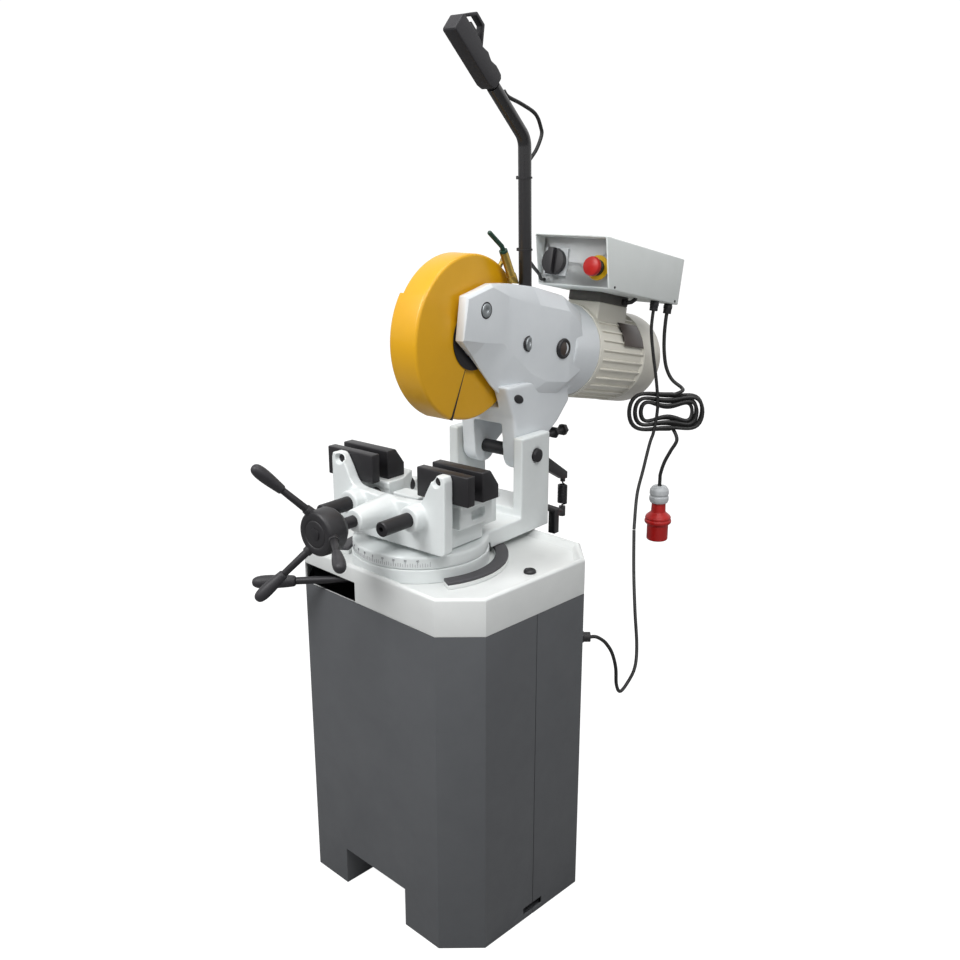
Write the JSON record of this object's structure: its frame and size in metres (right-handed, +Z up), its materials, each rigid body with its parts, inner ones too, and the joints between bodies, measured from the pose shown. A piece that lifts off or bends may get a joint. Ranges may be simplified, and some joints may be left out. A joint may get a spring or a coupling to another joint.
{
  "type": "cold saw",
  "caption": "Floor-standing pull-down cold saw: cabinet stand, coolant tray, swivel arm, screw vise, tilting head with gear case, blade guards, motor and control box.",
  "frame": {"origin": "centre of the cabinet's base on the floor", "axes": "+X to the operator's right, +Y away from the operator, +Z up"},
  "size_m": [0.5598, 1.2001, 1.8665],
  "materials": {
    "cabinet_paint": "fine textured powder coat",
    "zinc_sheet": "satin",
    "pump_paint": "painted",
    "black_plastic": "moulded",
    "tray_paint": "gloss paint",
    "cast_paint": "gloss paint on casting",
    "track_finish": "ground",
    "black_steel": "blackened",
    "tube_paint": "powder coat",
    "spring_steel": "zinc plated",
    "case_paint": "gloss paint on casting",
    "plug_steel": "zinc plated",
    "motor_paint": "paint",
    "cover_paint": "paint",
    "shaft_steel": "ground",
    "wheel_bronze": "machined",
    "blade_steel": "circular ground",
    "guard_paint": "gloss paint",
    "tap_brass": "cast and machined",
    "lever_green": "dipped",
    "box_paint": "powder coat",
    "panel_metal": "satin",
    "grey_plastic": "moulded",
    "yellow_plastic": "moulded",
    "red_plastic": "moulded",
    "cord_rubber": "sheath"
  },
  "bodies": {
    "stand": {"cabinet_front": "cabinet_paint", "cabinet_rear": "cabinet_paint", "coolant_tank": "zinc_sheet", "coolant_pump": "pump_paint", "pump_gland": "black_plastic", "tray": "tray_paint", "tray_plug": "black_plastic", "swivel_track": "track_finish", "base_ring": "cast_paint", "vise_body": "cast_paint", "rear_jaw_plates": "black_steel", "guide_rods": "black_steel", "pump_lead_lower": "cord_rubber"},
    "lock": {"lock_lever": "black_steel", "lock_grip": "black_plastic"},
    "arm": {"swivel_arm": "cast_paint", "pivot_shaft": "black_steel", "spring_anchor": "black_steel", "return_spring": "spring_steel"},
    "jaw": {"front_jaw": "cast_paint", "front_jaw_plates": "black_steel"},
    "screw": {"vise_screw": "black_steel", "capstan_hub": "black_steel", "capstan_spokes": "black_steel", "capstan_grips": "black_plastic"},
    "head": {"gear_case": "case_paint", "bearing_plate": "case_paint", "case_plugs": "plug_steel", "arbor_bearing": "zinc_sheet", "motor_body": "motor_paint", "fan_cover": "cover_paint", "upper_guard": "guard_paint", "coolant_tap": "tap_brass", "stop_bolt": "black_steel", "spring_lever": "black_steel", "terminal_box": "motor_paint", "control_box": "box_paint", "control_panel": "panel_metal", "switch_plate": "grey_plastic", "estop_collar": "yellow_plastic", "handle_tube": "tube_paint", "grip": "black_plastic", "trigger_cable": "cord_rubber", "cord_glands": "black_plastic"},
    "spindle": {"arbor": "shaft_steel", "worm_wheel": "wheel_bronze", "blade": "blade_steel", "blade_flange": "shaft_steel"},
    "worm": {"worm_shaft": "shaft_steel"},
    "rotor": {"motor_rotor": "shaft_steel"},
    "guard": {"lower_guard": "guard_paint"},
    "tap": {"tap_lever": "lever_green"},
    "switch": {"switch_knob": "black_plastic"},
    "stop": {"estop_button": "red_plastic"},
    "trigger_body": {"trigger": "black_plastic"},
    "cord": {"power_cord": "cord_rubber", "cord_hank": "cord_rubber", "cord_tail": "cord_rubber", "plug": "red_plastic", "pump_lead_upper": "cord_rubber"}
  },
  "joints": [
    {"name": "swivel", "type": "hinge", "parent": "stand", "child": "arm", "pos_m": [0, -0.065, 0.83], "axis": [0, 0, 1], "range_deg": [-30, 30]},
    {"name": "head_tilt", "type": "hinge", "parent": "arm", "child": "head", "pos_m": [-0.02336, 0.20198, 0.976], "axis": [0.9962, 0.0872, 0], "range_deg": [0, 38], "deforming": ["return_spring"]},
    {"name": "guard_swing", "type": "hinge", "parent": "head", "child": "guard", "pos_m": [-0.01159, 0.06749, 1.245], "axis": [0.9962, 0.0872, 0], "range_deg": [-90, 0]},
    {"name": "rotor_spin", "type": "hinge", "parent": "head", "child": "rotor", "pos_m": [-0.04724, 0.47493, 1.16309], "axis": [-0.0854, 0.9762, -0.1994], "continuous": true},
    {"name": "worm_spin", "type": "hinge", "parent": "head", "child": "worm", "pos_m": [0.02689, 0.24725, 1.27048], "axis": [-0.0854, 0.9762, -0.1994], "continuous": true},
    {"name": "arbor_spin", "type": "hinge", "parent": "head", "child": "spindle", "pos_m": [-0.01159, 0.06749, 1.245], "axis": [0.9962, 0.0872, 0], "continuous": true},
    {"name": "jaw_slide", "type": "slide", "parent": "stand", "child": "jaw", "axis": [-0.0872, 0.9962, 0], "range_m": [-0.07, 0.023]},
    {"name": "screw_spin", "type": "hinge", "parent": "jaw", "child": "screw", "pos_m": [0.01743, -0.26424, 0.921], "axis": [-0.0872, 0.9962, 0], "range_deg": [-2530, 840]},
    {"name": "lock_swing", "type": "hinge", "parent": "stand", "child": "lock", "pos_m": [0, -0.065, 0.745], "axis": [0, 0, 1], "range_deg": [0, 20]},
    {"name": "trigger_pull", "type": "slide", "parent": "head", "child": "trigger_body", "axis": [0.0583, -0.6666, -0.7431], "range_m": [0, 0.006], "stiffness_N_per_m": 800},
    {"name": "switch_turn", "type": "hinge", "parent": "head", "child": "switch", "pos_m": [-0.03469, 0.40036, 1.37947], "axis": [0.0854, -0.9762, 0.1994], "range_deg": [0, 90]},
    {"name": "stop_push", "type": "slide", "parent": "head", "child": "stop", "axis": [-0.0854, 0.9762, -0.1994], "range_m": [0, 0.006], "stiffness_N_per_m": 800},
    {"name": "tap_turn", "type": "hinge", "parent": "head", "child": "tap", "pos_m": [0.0354, 0.1499, 1.417], "axis": [0.0407, -0.465, 0.8844], "range_deg": [-90, 0]},
    {"name": "cord_hang", "type": "hinge", "parent": "head", "child": "cord", "pos_m": [0.07925, 0.63547, 1.25801], "axis": [0.9962, 0.0872, 0], "range_deg": [-39, 1]}
  ],
  "couplings": [
    {"joint": "guard_swing", "follows": "head_tilt", "ratio": -2.237},
    {"joint": "cord_hang", "follows": "head_tilt", "ratio": -1},
    {"joint": "worm_spin", "follows": "rotor_spin", "ratio": -1.2222},
    {"joint": "arbor_spin", "follows": "rotor_spin", "ratio": -0.06111},
    {"joint": "screw_spin", "follows": "jaw_slide", "rad_per_m": 628.32}
  ]
}
